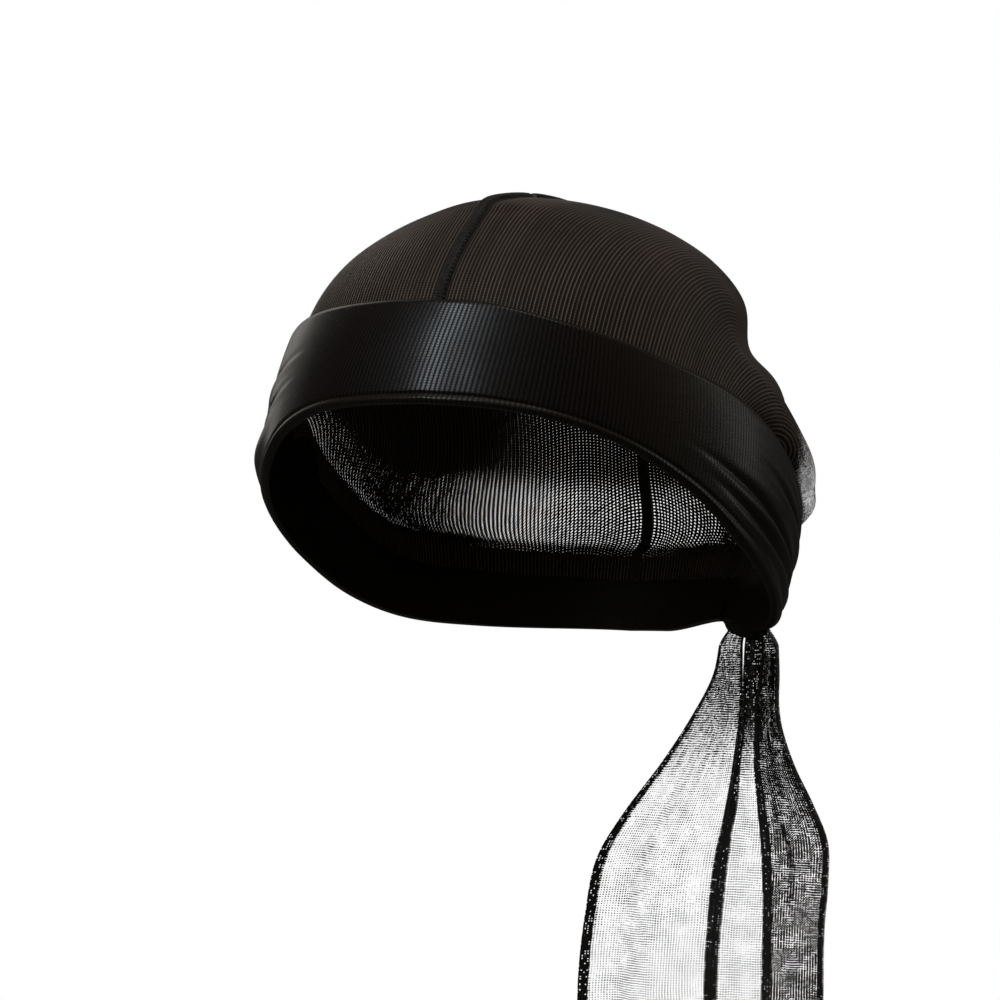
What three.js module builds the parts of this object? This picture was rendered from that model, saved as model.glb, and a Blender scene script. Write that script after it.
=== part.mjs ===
// A durag in the shape that it has when it is worn: a crown of two sheer ribbed panels joined by
// a raised centre seam, a folded brow band, two gathered ties drawn behind the ears to a knot low
// on the back, and two hemmed tails that hang from the knot.
// Millimetres, +Z up. The brow faces -Y and the wearer's left is +X.
// The origin is the top of the head, where the crown rests.

import * as THREE from 'three';
import { mergeVertices } from 'three/addons/utils/BufferGeometryUtils.js';

// Driving sizes of the head that the cloth follows.
const headWidth = 162;
const headLength = 184;
const headDepth = 145;

// Driving sizes of the crown.
const crownWall = 1.2;
const crownTuck = 8;
const seamWidth = 3.4;
const seamHeight = 1.0;

// Where the crown is loose: a dip above the ties and a gathered bag over them. It comes loose
// between two turns, in degrees from the middle of the brow.
const dipDent = 5.5;
const dipDepth = 46;
const dipHeight = 9;
const bagOut = 5.5;
const bagHeight = 34;
const bagClearance = 1.5;
const gatherDepth = 1.6;
const gatherPitch = 24;
const looseFrom = 72;
const looseTo = 108;

// Driving sizes of the band and the ties.
const bandWall = 2.2;
const weltHeight = 0.7;
const bandTurn = 58;
const tieWall = 2.0;
const tieFold = 2.6;
const leftFoldRun = 30;
const rightFoldRun = 12;

// Driving sizes of the knot and the tails.
const knotWidth = 22;
const knotThickness = 17;
const knotHeight = 24;
const knotSquareness = 0.75;
const knotGroove = 0.1;
const knotTurn = 150;
const knotDrop = 4;
const tailWidth = 57;
const tailLength = 133;
const tailWall = 1.2;
const tailSwing = 2.2;
const tailRuffle = 3.2;
const hemWidth = 3.5;
const hemWall = 2.4;
const foldGap = 4.4;

// The gap that neighbouring pieces keep.
const ease = 0.5;

// Sections through the head: depth is a share of headDepth, half of half the headWidth, and brow
// and nape, the reach forwards and backwards, of half the headLength.
const headSections = [
  { depth: 0.0, half: 0.0, brow: 0.0, nape: 0.0 },
  { depth: 0.014, half: 0.21, brow: 0.36, nape: 0.36 },
  { depth: 0.041, half: 0.383, brow: 0.446, nape: 0.478 },
  { depth: 0.083, half: 0.549, brow: 0.549, nape: 0.609 },
  { depth: 0.138, half: 0.691, brow: 0.663, nape: 0.739 },
  { depth: 0.207, half: 0.796, brow: 0.766, nape: 0.848 },
  { depth: 0.29, half: 0.87, brow: 0.842, nape: 0.935 },
  { depth: 0.379, half: 0.932, brow: 0.891, nape: 1.0 },
  { depth: 0.483, half: 0.981, brow: 0.924, nape: 1.043 },
  { depth: 0.586, half: 1.0, brow: 0.94, nape: 1.06 },
  { depth: 0.69, half: 0.994, brow: 0.946, nape: 1.049 },
  { depth: 0.793, half: 0.963, brow: 0.935, nape: 1.011 },
  { depth: 0.897, half: 0.914, brow: 0.913, nape: 0.957 },
  { depth: 1.0, half: 0.846, brow: 0.891, nape: 0.891 },
];

// Edges of the band and the ties, which sit a little higher on the wearer's right: turn is in
// degrees from the middle of the brow to the middle of the back, the rest are shares of headDepth.
const wrapEdges = [
  { turn: 0, upperLeft: 0.229, upperRight: 0.229, lowerLeft: 0.445, lowerRight: 0.445 },
  { turn: 15, upperLeft: 0.239, upperRight: 0.232, lowerLeft: 0.455, lowerRight: 0.45 },
  { turn: 30, upperLeft: 0.27, upperRight: 0.241, lowerLeft: 0.483, lowerRight: 0.468 },
  { turn: 45, upperLeft: 0.312, upperRight: 0.257, lowerLeft: 0.541, lowerRight: 0.52 },
  { turn: 60, upperLeft: 0.367, upperRight: 0.288, lowerLeft: 0.631, lowerRight: 0.608 },
  { turn: 75, upperLeft: 0.429, upperRight: 0.362, lowerLeft: 0.738, lowerRight: 0.692 },
  { turn: 90, upperLeft: 0.521, upperRight: 0.485, lowerLeft: 0.824, lowerRight: 0.785 },
  { turn: 105, upperLeft: 0.641, upperRight: 0.63, lowerLeft: 0.893, lowerRight: 0.875 },
  { turn: 120, upperLeft: 0.738, upperRight: 0.738, lowerLeft: 0.938, lowerRight: 0.93 },
  { turn: 140, upperLeft: 0.779, upperRight: 0.779, lowerLeft: 0.959, lowerRight: 0.957 },
  { turn: 180, upperLeft: 0.807, upperRight: 0.807, lowerLeft: 0.969, lowerRight: 0.969 },
];

// Folds across a tie, from its upper edge at 0 to its lower edge at 1: rise is a share of tieFold.
const leftTieFolds = [
  { across: 0.0, rise: 0.15 },
  { across: 0.06, rise: 0.5 },
  { across: 0.2, rise: 0.75 },
  { across: 0.34, rise: 0.1 },
  { across: 0.48, rise: 0.85 },
  { across: 0.62, rise: 0.05 },
  { across: 0.7, rise: 0.7 },
  { across: 0.77, rise: 0.2 },
  { across: 0.89, rise: 1.0 },
  { across: 1.0, rise: 0.2 },
];
const rightTieFolds = [
  { across: 0.0, rise: 0.15 },
  { across: 0.06, rise: 0.5 },
  { across: 0.2, rise: 0.75 },
  { across: 0.34, rise: 0.1 },
  { across: 0.45, rise: 0.8 },
  { across: 0.55, rise: 0.15 },
  { across: 0.61, rise: 0.6 },
  { across: 0.66, rise: 0.3 },
  { across: 0.73, rise: 1.3 },
  { across: 0.81, rise: 1.5 },
  { across: 0.89, rise: 1.0 },
  { across: 1.0, rise: 0.2 },
];

// The outline of a hanging tail: drop is a share of tailLength below the knot. inner and outer are
// how far its two sides lie from the knot's middle, away from the other tail, and out is how far it
// stands behind the knot's middle, all shares of tailWidth. turned is where the cloth that is
// folded back ends, from 0 at the inner side to 1 at the outer.
const leftTailRows = [
  { drop: 0.0, inner: -0.03, outer: 0.19, out: 0.03, turned: 0.6 },
  { drop: 0.08, inner: -0.05, outer: 0.19, out: 0.05, turned: 0.55 },
  { drop: 0.16, inner: -0.06, outer: 0.185, out: 0.06, turned: 0.45 },
  { drop: 0.215, inner: -0.07, outer: 0.205, out: 0.06, turned: 0.42 },
  { drop: 0.31, inner: -0.107, outer: 0.285, out: 0.06, turned: 0.38 },
  { drop: 0.4, inner: -0.135, outer: 0.395, out: 0.06, turned: 0.37 },
  { drop: 0.495, inner: -0.187, outer: 0.49, out: 0.06, turned: 0.4 },
  { drop: 0.595, inner: -0.22, outer: 0.495, out: 0.06, turned: 0.44 },
  { drop: 0.715, inner: -0.25, outer: 0.472, out: 0.06, turned: 0.48 },
  { drop: 0.857, inner: -0.27, outer: 0.465, out: 0.06, turned: 0.49 },
  { drop: 1.0, inner: -0.275, outer: 0.46, out: 0.06, turned: 0.49 },
];
const rightTailRows = [
  { drop: 0.0, inner: 0.055, outer: 0.18, out: 0.03 },
  { drop: 0.09, inner: 0.07, outer: 0.24, out: 0.07 },
  { drop: 0.19, inner: 0.09, outer: 0.38, out: 0.11 },
  { drop: 0.31, inner: 0.133, outer: 0.58, out: 0.14 },
  { drop: 0.45, inner: 0.186, outer: 0.84, out: 0.15 },
  { drop: 0.56, inner: 0.239, outer: 1.0, out: 0.15 },
  { drop: 0.715, inner: 0.277, outer: 1.08, out: 0.15 },
  { drop: 0.857, inner: 0.296, outer: 1.12, out: 0.15 },
  { drop: 1.0, inner: 0.3, outer: 1.13, out: 0.15 },
];

// Finish of the cloth.
const cloth = (color, roughness) =>
  new THREE.MeshStandardMaterial({ color, roughness, metalness: 0 });
const sheerKnit = cloth(0x2b2725, 0.75);
const satinKnit = cloth(0x17171a, 0.45);
const gatheredKnit = cloth(0x1b1a1a, 0.6);
const sergedThread = cloth(0x141210, 0.85);

const degrees = Math.PI / 180;
const clamp = THREE.MathUtils.clamp;
const lerp = THREE.MathUtils.lerp;
const smoothstep = THREE.MathUtils.smoothstep;

// A table read as smooth curves: the returned function gives every column at one place.
function smoothTable(rows, key, warp = (value) => value) {
  const columns = Object.keys(rows[0]).filter((name) => name !== key);
  const places = rows.map((row) => warp(row[key]));
  const values = rows.flatMap((row) => columns.map((name) => row[name]));
  const curve = new THREE.CubicInterpolant(places, values, columns.length);
  return (place) => {
    const found = curve.evaluate(clamp(warp(place), places[0], places[places.length - 1]));
    return Object.fromEntries(columns.map((name, index) => [name, found[index]]));
  };
}

const headCurve = smoothTable(headSections, 'depth', Math.sqrt);
const edgeCurve = smoothTable(wrapEdges, 'turn');

function headSection(depth) {
  const share = headCurve(Math.max(depth, 0) / headDepth);
  return {
    half: (share.half * headWidth) / 2,
    brow: (share.brow * headLength) / 2,
    nape: (share.nape * headLength) / 2,
  };
}

const widestRow = headSections.reduce((widest, row) => (row.half > widest.half ? row : widest));
const widestDepth = widestRow.depth * headDepth;
const widestHalf = (widestRow.half * headWidth) / 2;

// The edges at a turn, which is positive on the wearer's left and may pass the middle of the back.
function wrapEdge(turn) {
  const round = THREE.MathUtils.euclideanModulo(turn + 180, 360) - 180;
  const share = edgeCurve(Math.abs(round));
  const [upper, lower] =
    round < 0 ? [share.upperRight, share.lowerRight] : [share.upperLeft, share.lowerLeft];
  return { upper: upper * headDepth, lower: lower * headDepth };
}

// A point on the head, and the direction that points away from it there.
function headPoint(turn, depth) {
  const section = headSection(depth);
  const reach = Math.cos(turn * degrees) > 0 ? section.brow : section.nape;
  return new THREE.Vector3(
    section.half * Math.sin(turn * degrees),
    -reach * Math.cos(turn * degrees),
    -depth,
  );
}

function headNormal(point) {
  const depth = Math.max(-point.z, 0.3);
  const step = 0.25;
  const here = headSection(depth);
  const above = headSection(depth - step);
  const below = headSection(depth + step);
  const side = point.y < 0 ? 'brow' : 'nape';
  const halfGrowth = (below.half - above.half) / (2 * step);
  const reachGrowth = (below[side] - above[side]) / (2 * step);
  return new THREE.Vector3(
    point.x / here.half ** 2,
    point.y / here[side] ** 2,
    (point.x ** 2 * halfGrowth) / here.half ** 3 + (point.y ** 2 * reachGrowth) / here[side] ** 3,
  ).normalize();
}

function raised(point, lift) {
  return point.clone().addScaledVector(headNormal(point), lift);
}

// The degrees that a length on the head spans at a turn and depth.
function turnsOver(length, turn, depth) {
  return length / headPoint(turn + 0.5, depth).distanceTo(headPoint(turn - 0.5, depth));
}

// Halves a range of depths until it finds where a test that holds at the near end stops holding.
function lastWhere(holds, near, far) {
  for (let halving = 0; halving < 40; halving++) {
    const middle = (near + far) / 2;
    if (holds(middle)) near = middle;
    else far = middle;
  }
  return near;
}

// A solid between two grids of points, closed along all four of its sides.
function sheetSolid(across, along, outerPoint, innerPoint) {
  const width = across.length;
  const count = width * along.length;
  const points = [];
  for (const point of [outerPoint, innerPoint]) {
    for (const v of along) {
      for (const u of across) points.push(point(u, v));
    }
  }
  const faces = [];
  const quad = (a, b, c, d) => faces.push(a, b, c, a, c, d);
  const outer = (i, j) => j * width + i;
  const inner = (i, j) => count + j * width + i;
  for (let j = 0; j + 1 < along.length; j++) {
    for (let i = 0; i + 1 < width; i++) {
      quad(outer(i, j), outer(i + 1, j), outer(i + 1, j + 1), outer(i, j + 1));
      quad(inner(i, j + 1), inner(i + 1, j + 1), inner(i + 1, j), inner(i, j));
    }
  }
  const lastRow = along.length - 1;
  for (let i = 0; i + 1 < width; i++) {
    quad(inner(i, 0), inner(i + 1, 0), outer(i + 1, 0), outer(i, 0));
    quad(outer(i, lastRow), outer(i + 1, lastRow), inner(i + 1, lastRow), inner(i, lastRow));
  }
  const lastColumn = width - 1;
  for (let j = 0; j + 1 < along.length; j++) {
    quad(outer(0, j), outer(0, j + 1), inner(0, j + 1), inner(0, j));
    quad(inner(lastColumn, j), inner(lastColumn, j + 1), outer(lastColumn, j + 1), outer(lastColumn, j));
  }
  return facingOut(points, faces);
}

function facingOut(points, faces) {
  let volume = 0;
  for (let f = 0; f < faces.length; f += 3) {
    const [a, b, c] = [points[faces[f]], points[faces[f + 1]], points[faces[f + 2]]];
    volume += a.dot(b.clone().cross(c));
  }
  const geometry = new THREE.BufferGeometry();
  geometry.setAttribute(
    'position',
    new THREE.Float32BufferAttribute(points.flatMap((point) => point.toArray()), 3),
  );
  geometry.setIndex(volume < 0 ? [...faces].reverse() : faces);
  geometry.computeVertexNormals();
  return geometry;
}

function evenly(from, to, steps) {
  return Array.from({ length: steps + 1 }, (_, index) => lerp(from, to, index / steps));
}

// The crown. A rib lies at one distance from the middle, and runs from the brow over the top to
// the back. Below the widest part of the head the ribs draw together with it.
function ribTopDepth(offset) {
  return lastWhere((depth) => headSection(depth).half < offset, 0, widestDepth);
}

function ribPoint(offset, depth, backwards) {
  const section = headSection(depth);
  const half = depth > widestDepth ? widestHalf : section.half;
  const reach = backwards ? section.nape : -section.brow;
  const x = depth > widestDepth ? (offset * section.half) / widestHalf : offset;
  return new THREE.Vector3(x, reach * Math.sqrt(Math.max(1 - (offset / half) ** 2, 0)), -depth);
}

function turnOf(point) {
  const section = headSection(-point.z);
  const reach = point.y < 0 ? section.brow : section.nape;
  return Math.atan2(point.x / section.half, -point.y / reach) / degrees;
}

// Where a rib meets the upper edge of the band or tie, moved down by a margin.
function ribEdgeDepth(offset, side, backwards, margin) {
  const aboveEdge = (depth) => {
    const turn = turnOf(ribPoint(offset, depth, backwards));
    return depth < wrapEdge(side * turn).upper + margin;
  };
  return lastWhere(aboveEdge, 0, headDepth);
}

// The depths of a rib at its top, at the edge that it goes under and at its hidden hem.
function ribSpan(offset, side, backwards) {
  const top = ribTopDepth(offset);
  const edge = Math.max(ribEdgeDepth(offset, side, backwards, -bagClearance), top + 1);
  const hem = Math.max(ribEdgeDepth(offset, side, backwards, crownTuck), edge + 1);
  return { top, edge, hem };
}

// A run of 0 is the top of a rib, 1 either way is the edge that it goes under and 2 is its hem.
function ribDepth(span, run) {
  const reached = Math.abs(run);
  if (reached > 1) return lerp(span.edge, span.hem, reached - 1);
  return lerp(span.top, span.edge, reached ** 2);
}

// How far the loose cloth stands out from the head: it dips above the ties and bags over them.
function crownRelief(point, offset, side) {
  const turn = turnOf(point);
  const depth = -point.z;
  const edge = wrapEdge(side * turn).upper - bagClearance;
  const looseness = smoothstep(turn, looseFrom, looseTo);
  const dip = Math.exp(-(((depth - dipDepth) / dipHeight) ** 2));
  const above = clamp((edge - depth) / bagHeight, 0, 1);
  const bag = Math.sin(Math.PI * Math.sqrt(above)) ** 2;
  const gather = 0.5 + 0.5 * Math.cos((offset / gatherPitch) * 2 * Math.PI);
  return looseness * (bag * (bagOut + gatherDepth * gather) - dip * dipDent);
}

// The rows along a rib, closer together where the cloth dips and bags.
const forwardRuns = [-2, -1, -0.9, -0.79, -0.68, -0.57, -0.46, -0.35, -0.24, -0.12];
const backwardRuns = [0, 0.12, 0.25, 0.38, 0.5, 0.58, 0.66, 0.74, 0.81, 0.88, 0.93, 0.97, 1, 2];
const crownRuns = [...forwardRuns, ...backwardRuns];

function crownPanel(side) {
  const seamEdge = seamWidth / 2 + ease;
  const sideEdge = headSection(wrapEdge(side * 90).upper + crownTuck / 2).half;
  const offsets = evenly(seamEdge, sideEdge, 13);
  const surface = (lift) => (offset, run) => {
    const depth = ribDepth(ribSpan(offset, side, run > 0), run);
    const point = ribPoint(offset, depth, run > 0);
    const shaped = raised(point, lift + crownRelief(point, offset, side));
    return shaped.setX(side * Math.max(shaped.x, seamEdge));
  };
  return sheetSolid(offsets, crownRuns, surface(crownWall), surface(0));
}

// The serged seam stands above the panels and fills the gap between them. Under the band and the
// ties it is flat.
function crownSeam() {
  const profile = [
    { across: -0.5, height: -1 },
    { across: 0.5, height: -1 },
    { across: 0.5, height: 0 },
    { across: 0.36, height: 0.8 },
    { across: 0, height: 1 },
    { across: -0.36, height: 0.8 },
    { across: -0.5, height: 0 },
  ];
  const points = crownRuns.flatMap((run) => {
    const depth = Math.max(ribDepth(ribSpan(0, 1, run > 0), run), 0.02);
    const base = ribPoint(0, depth, run > 0);
    const relief = crownRelief(base, 0, 1);
    const tall = Math.abs(run) < 1 ? seamHeight : 0;
    return profile.map(({ across, height }) => {
      const lift = height < 0 ? 0 : crownWall + Math.max(height * tall, 0.01 * height);
      return raised(base, lift + relief).setX(across * seamWidth);
    });
  });
  return loftSolid(points, profile.length);
}

// A closed solid through rings of the same number of points, with a flat cap at each end.
function loftSolid(points, ring) {
  const faces = [];
  const rings = points.length / ring;
  for (let j = 0; j + 1 < rings; j++) {
    for (let i = 0; i < ring; i++) {
      const next = (i + 1) % ring;
      const [a, b] = [j * ring + i, j * ring + next];
      faces.push(a, b, b + ring, a, b + ring, a + ring);
    }
  }
  const last = (rings - 1) * ring;
  for (let i = 1; i + 1 < ring; i++) {
    faces.push(0, i + 1, i, last, last + i, last + i + 1);
  }
  return facingOut(points, faces);
}

// The band and the ties lie over the hem of the crown.
const wrapLift = crownWall + ease;

function wrapPoint(across, turn, lift) {
  const { upper, lower } = wrapEdge(turn);
  return raised(headPoint(turn, lerp(upper, lower, across)), lift);
}

// The brow band is a folded strip with a thin welt along its lower edge.
const bandProfile = [
  { across: 0, wall: 0.45 * bandWall },
  { across: 0.05, wall: bandWall },
  { across: 0.45, wall: bandWall },
  { across: 0.88, wall: bandWall },
  { across: 0.93, wall: bandWall + weltHeight },
  { across: 1, wall: 0.6 * bandWall },
];

function browBand() {
  return sheetSolid(
    bandProfile,
    evenly(-bandTurn, bandTurn, 22),
    (row, turn) => wrapPoint(row.across, turn, wrapLift + row.wall),
    (row, turn) => wrapPoint(row.across, turn, wrapLift),
  );
}

// A tie runs from the end of the band around the head to the knot, and its folds grow on the way.
function tieWrap(folds, firstTurn, lastTurn, foldRun, steps) {
  const wallAt = (row, turn) => {
    const grown = smoothstep(Math.abs(turn - firstTurn), 0, foldRun);
    const edge = row.across % 1 === 0 ? 0.6 : 1;
    return edge * tieWall + row.rise * tieFold * grown;
  };
  return sheetSolid(
    folds,
    evenly(firstTurn, lastTurn, steps),
    (row, turn) => wrapPoint(row.across, turn, wrapLift + wallAt(row, turn)),
    (row, turn) => wrapPoint(row.across, turn, wrapLift),
  );
}

// The knot sits on the ties, beside the middle of the back, and faces away from the head.
const knotDepth = lerp(wrapEdge(knotTurn).upper, wrapEdge(knotTurn).lower, 0.5) + knotDrop;
const knotSeat = headPoint(knotTurn, knotDepth);
const knotFacing = headNormal(knotSeat).setZ(0).normalize();
const knotMiddle = knotSeat.clone().addScaledVector(knotFacing, crownWall + 3 * ease + knotThickness / 2);

function napeKnot() {
  const ball = new THREE.SphereGeometry(1, 20, 14);
  ball.deleteAttribute('normal');
  ball.deleteAttribute('uv');
  const knot = mergeVertices(ball, 1e-4);
  const position = knot.getAttribute('position');
  const sideways = new THREE.Vector3(knotFacing.y, -knotFacing.x, 0);
  for (let index = 0; index < position.count; index++) {
    const [x, y, z] = new THREE.Vector3()
      .fromBufferAttribute(position, index)
      .toArray()
      .map((value) => Math.sign(value) * Math.abs(value) ** knotSquareness);
    const groove = 1 - knotGroove * Math.cos(3 * Math.atan2(z, x) + 0.8) * (1 - y ** 2);
    const point = knotMiddle
      .clone()
      .addScaledVector(sideways, (x * groove * knotWidth) / 2)
      .addScaledVector(knotFacing, (y * groove * knotThickness) / 2);
    position.setXYZ(index, point.x, point.y, point.z + (z * groove * knotHeight) / 2);
  }
  knot.computeVertexNormals();
  return knot;
}

// A tail is a strip with a thicker hem along each side. Across it, stations run from its inner
// side at 0 to its outer side at 1, and a folded tail turns back there and ends at 2.
const hemShare = hemWidth / tailWidth;
const tailTop = knotMiddle.z - ((1 + knotGroove) * knotHeight) / 2;

function tailSolid(rows, side, stations, wave) {
  const curve = smoothTable(rows, 'drop');
  const last = stations[stations.length - 1];
  const middle = (station, drop) => {
    const row = curve(drop);
    const inner = row.inner * tailWidth;
    const spread = row.outer * tailWidth - inner;
    const behind = row.out * tailWidth + wave(station, drop, spread / tailWidth);
    const share = station > 1 ? lerp(1, row.turned, station - 1) : station;
    return new THREE.Vector3(
      knotMiddle.x + side * (inner + spread * share),
      knotMiddle.y + behind,
      tailTop - drop * tailLength,
    );
  };
  const shifted = (way) => (station, drop) => {
    const step = 0.02;
    const from = middle(Math.max(station - step, 0), drop);
    const to = middle(Math.min(station + step, last), drop);
    const normal = new THREE.Vector3(-(to.y - from.y), to.x - from.x, 0).normalize();
    const hemmed = station === stations[0] || station === stations[1];
    const hemmedLast = station === last || station === stations[stations.length - 2];
    const wall = hemmed || hemmedLast ? hemWall : tailWall;
    return middle(station, drop).addScaledVector(normal, (way * wall) / 2);
  };
  const drops = rows.map((row) => row.drop);
  return sheetSolid(stations, drops, shifted(1), shifted(-1));
}

// The left tail is folded lengthwise, with the folded cloth on the side of the neck.
function leftTail() {
  const front = [0, hemShare, hemShare + 0.04, 0.3, 0.5, 0.7, 0.88, 0.96];
  const turned = [1, 1.06, 1.2, 1.45, 1.7, 1.96 - 2 * hemShare, 2 - 2 * hemShare, 2];
  const wave = (station, drop, spread) => {
    const ripple = Math.min(spread, 1) * tailSwing * Math.sin(station * 2.6 + drop * 3);
    const folded = smoothstep(station, 0.9, 1.12) * foldGap;
    return ripple * (station > 1 ? 2 - station : 1) - folded;
  };
  return tailSolid(leftTailRows, 1, [...front, ...turned], wave);
}

function rightTail() {
  const between = evenly(hemShare + 0.04, 0.96 - hemShare, 8);
  const wave = (station, drop, spread) => {
    const grown = smoothstep(drop, 0, 0.45) * Math.min(spread + 0.2, 1);
    return tailRuffle * Math.sin(station * 9.4 + 0.6) * grown;
  };
  return tailSolid(rightTailRows, -1, [0, hemShare, ...between, 1 - hemShare, 1], wave);
}

// The assembly.
const durag = new THREE.Group();
durag.name = 'durag';

function addPiece(name, geometry, material) {
  const piece = new THREE.Mesh(geometry, material);
  piece.name = name;
  durag.add(piece);
}

addPiece('crown_panel_left', crownPanel(1), sheerKnit);
addPiece('crown_panel_right', crownPanel(-1), sheerKnit);
addPiece('crown_seam', crownSeam(), sergedThread);
addPiece('brow_band', browBand(), satinKnit);
const tieStart = bandTurn + turnsOver(ease, bandTurn, wrapEdge(bandTurn).upper);
const tieStop = turnsOver(knotWidth / 2 + ease, knotTurn, knotDepth);
const leftTie = tieWrap(leftTieFolds, tieStart, knotTurn - tieStop, leftFoldRun, 15);
const rightTie = tieWrap(rightTieFolds, -tieStart, knotTurn + tieStop - 360, rightFoldRun, 24);
addPiece('tie_wrap_left', leftTie, gatheredKnit);
addPiece('tie_wrap_right', rightTie, gatheredKnit);
addPiece('nape_knot', napeKnot(), gatheredKnit);
addPiece('tail_left', leftTail(), sheerKnit);
addPiece('tail_right', rightTail(), sheerKnit);

export default durag;
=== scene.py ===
"""A durag in the shape that it has when it is worn, in cloth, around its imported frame.

Metres, +Z up, the brow band towards -Y and the left side towards +X. The origin is the top of the
form that the cloth follows.
"""
import math

import bpy
import numpy as np
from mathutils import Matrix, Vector


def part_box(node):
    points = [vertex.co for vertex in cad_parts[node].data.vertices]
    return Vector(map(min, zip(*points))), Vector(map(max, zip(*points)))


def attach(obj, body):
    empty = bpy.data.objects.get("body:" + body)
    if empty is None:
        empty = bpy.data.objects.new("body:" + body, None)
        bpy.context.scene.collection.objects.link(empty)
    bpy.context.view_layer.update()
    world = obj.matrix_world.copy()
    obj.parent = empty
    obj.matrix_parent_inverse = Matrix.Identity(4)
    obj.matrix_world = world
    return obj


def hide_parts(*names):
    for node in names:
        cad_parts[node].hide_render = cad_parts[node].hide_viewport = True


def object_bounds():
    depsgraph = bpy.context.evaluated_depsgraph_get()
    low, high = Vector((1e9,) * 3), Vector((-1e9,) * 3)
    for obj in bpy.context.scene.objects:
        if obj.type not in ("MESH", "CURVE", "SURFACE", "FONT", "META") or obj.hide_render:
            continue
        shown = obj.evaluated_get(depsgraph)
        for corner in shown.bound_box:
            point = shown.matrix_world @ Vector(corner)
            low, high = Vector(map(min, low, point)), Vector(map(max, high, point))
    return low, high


bl_info = {
    "name": "Durag",
    "version": (1, 0, 0),
    "blender": (4, 5, 0),
    "location": "3D View > Sidebar > Durag",
    "description": "Builds a worn durag of sheer ribbed knit, satin and thread around its frame",
    "category": "Object",
}

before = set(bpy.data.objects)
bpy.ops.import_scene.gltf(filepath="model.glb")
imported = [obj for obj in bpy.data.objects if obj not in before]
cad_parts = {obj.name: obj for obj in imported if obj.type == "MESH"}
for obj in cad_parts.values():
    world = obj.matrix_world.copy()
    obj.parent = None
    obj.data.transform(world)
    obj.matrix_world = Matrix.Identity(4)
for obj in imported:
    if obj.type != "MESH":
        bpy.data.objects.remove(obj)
CAD_BOX = [list(corner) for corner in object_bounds()]
MM = 0.001

# The form that the cloth follows, with the same sizes as the frame's.
FORM_WIDTH = 162 * MM
FORM_LENGTH = 184 * MM
FORM_DEPTH = 145 * MM

# Depth as a share of FORM_DEPTH, then the half width as a share of half of FORM_WIDTH, and the
# reach to the front and to the back as shares of half of FORM_LENGTH.
FORM_SECTIONS = (
    (0.0, 0.0, 0.0, 0.0),
    (0.014, 0.21, 0.36, 0.36),
    (0.041, 0.383, 0.446, 0.478),
    (0.083, 0.549, 0.549, 0.609),
    (0.138, 0.691, 0.663, 0.739),
    (0.207, 0.796, 0.766, 0.848),
    (0.29, 0.87, 0.842, 0.935),
    (0.379, 0.932, 0.891, 1.0),
    (0.483, 0.981, 0.924, 1.043),
    (0.586, 1.0, 0.94, 1.06),
    (0.69, 0.994, 0.946, 1.049),
    (0.793, 0.963, 0.935, 1.011),
    (0.897, 0.914, 0.913, 0.957),
    (1.0, 0.846, 0.891, 0.891),
)
WIDEST_DEPTH = max(FORM_SECTIONS, key=lambda row: row[1])[0] * FORM_DEPTH

# Turn in degrees from the middle of the brow band, then the depth of the band's and ties' upper
# edge on the left and right, and of their lower edge on the left and right, as shares of FORM_DEPTH.
WRAP_EDGES = (
    (0, 0.229, 0.229, 0.445, 0.445),
    (15, 0.239, 0.232, 0.455, 0.45),
    (30, 0.27, 0.241, 0.483, 0.468),
    (45, 0.312, 0.257, 0.541, 0.52),
    (60, 0.367, 0.288, 0.631, 0.608),
    (75, 0.429, 0.362, 0.738, 0.692),
    (90, 0.521, 0.485, 0.824, 0.785),
    (105, 0.641, 0.63, 0.893, 0.875),
    (120, 0.738, 0.738, 0.938, 0.93),
    (140, 0.779, 0.779, 0.959, 0.957),
    (180, 0.807, 0.807, 0.969, 0.969),
)

# Creases of the gathered cloth: place across it from 0 at the upper edge, the turn from which it
# grows, its depth and its half width as a share of the cloth's width.
LEFT_CREASES = (
    (0.12, 96, 1.3 * MM, 0.02),
    (0.22, 88, 0.9 * MM, 0.022),
    (0.34, 76, 2.0 * MM, 0.024),
    (0.49, 92, 1.2 * MM, 0.022),
    (0.63, 56, 2.1 * MM, 0.026),
    (0.705, 84, 0.9 * MM, 0.016),
    (0.77, 62, 1.9 * MM, 0.022),
    (0.88, 80, 1.2 * MM, 0.02),
)
RIGHT_CREASES = (
    (0.14, 84, 1.2 * MM, 0.02),
    (0.24, 70, 0.9 * MM, 0.022),
    (0.34, 38, 1.4 * MM, 0.02),
    (0.45, 50, 1.0 * MM, 0.02),
    (0.55, 40, 1.5 * MM, 0.02),
    (0.64, 48, 1.9 * MM, 0.024),
    (0.9, 78, 1.3 * MM, 0.02),
)

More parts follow.
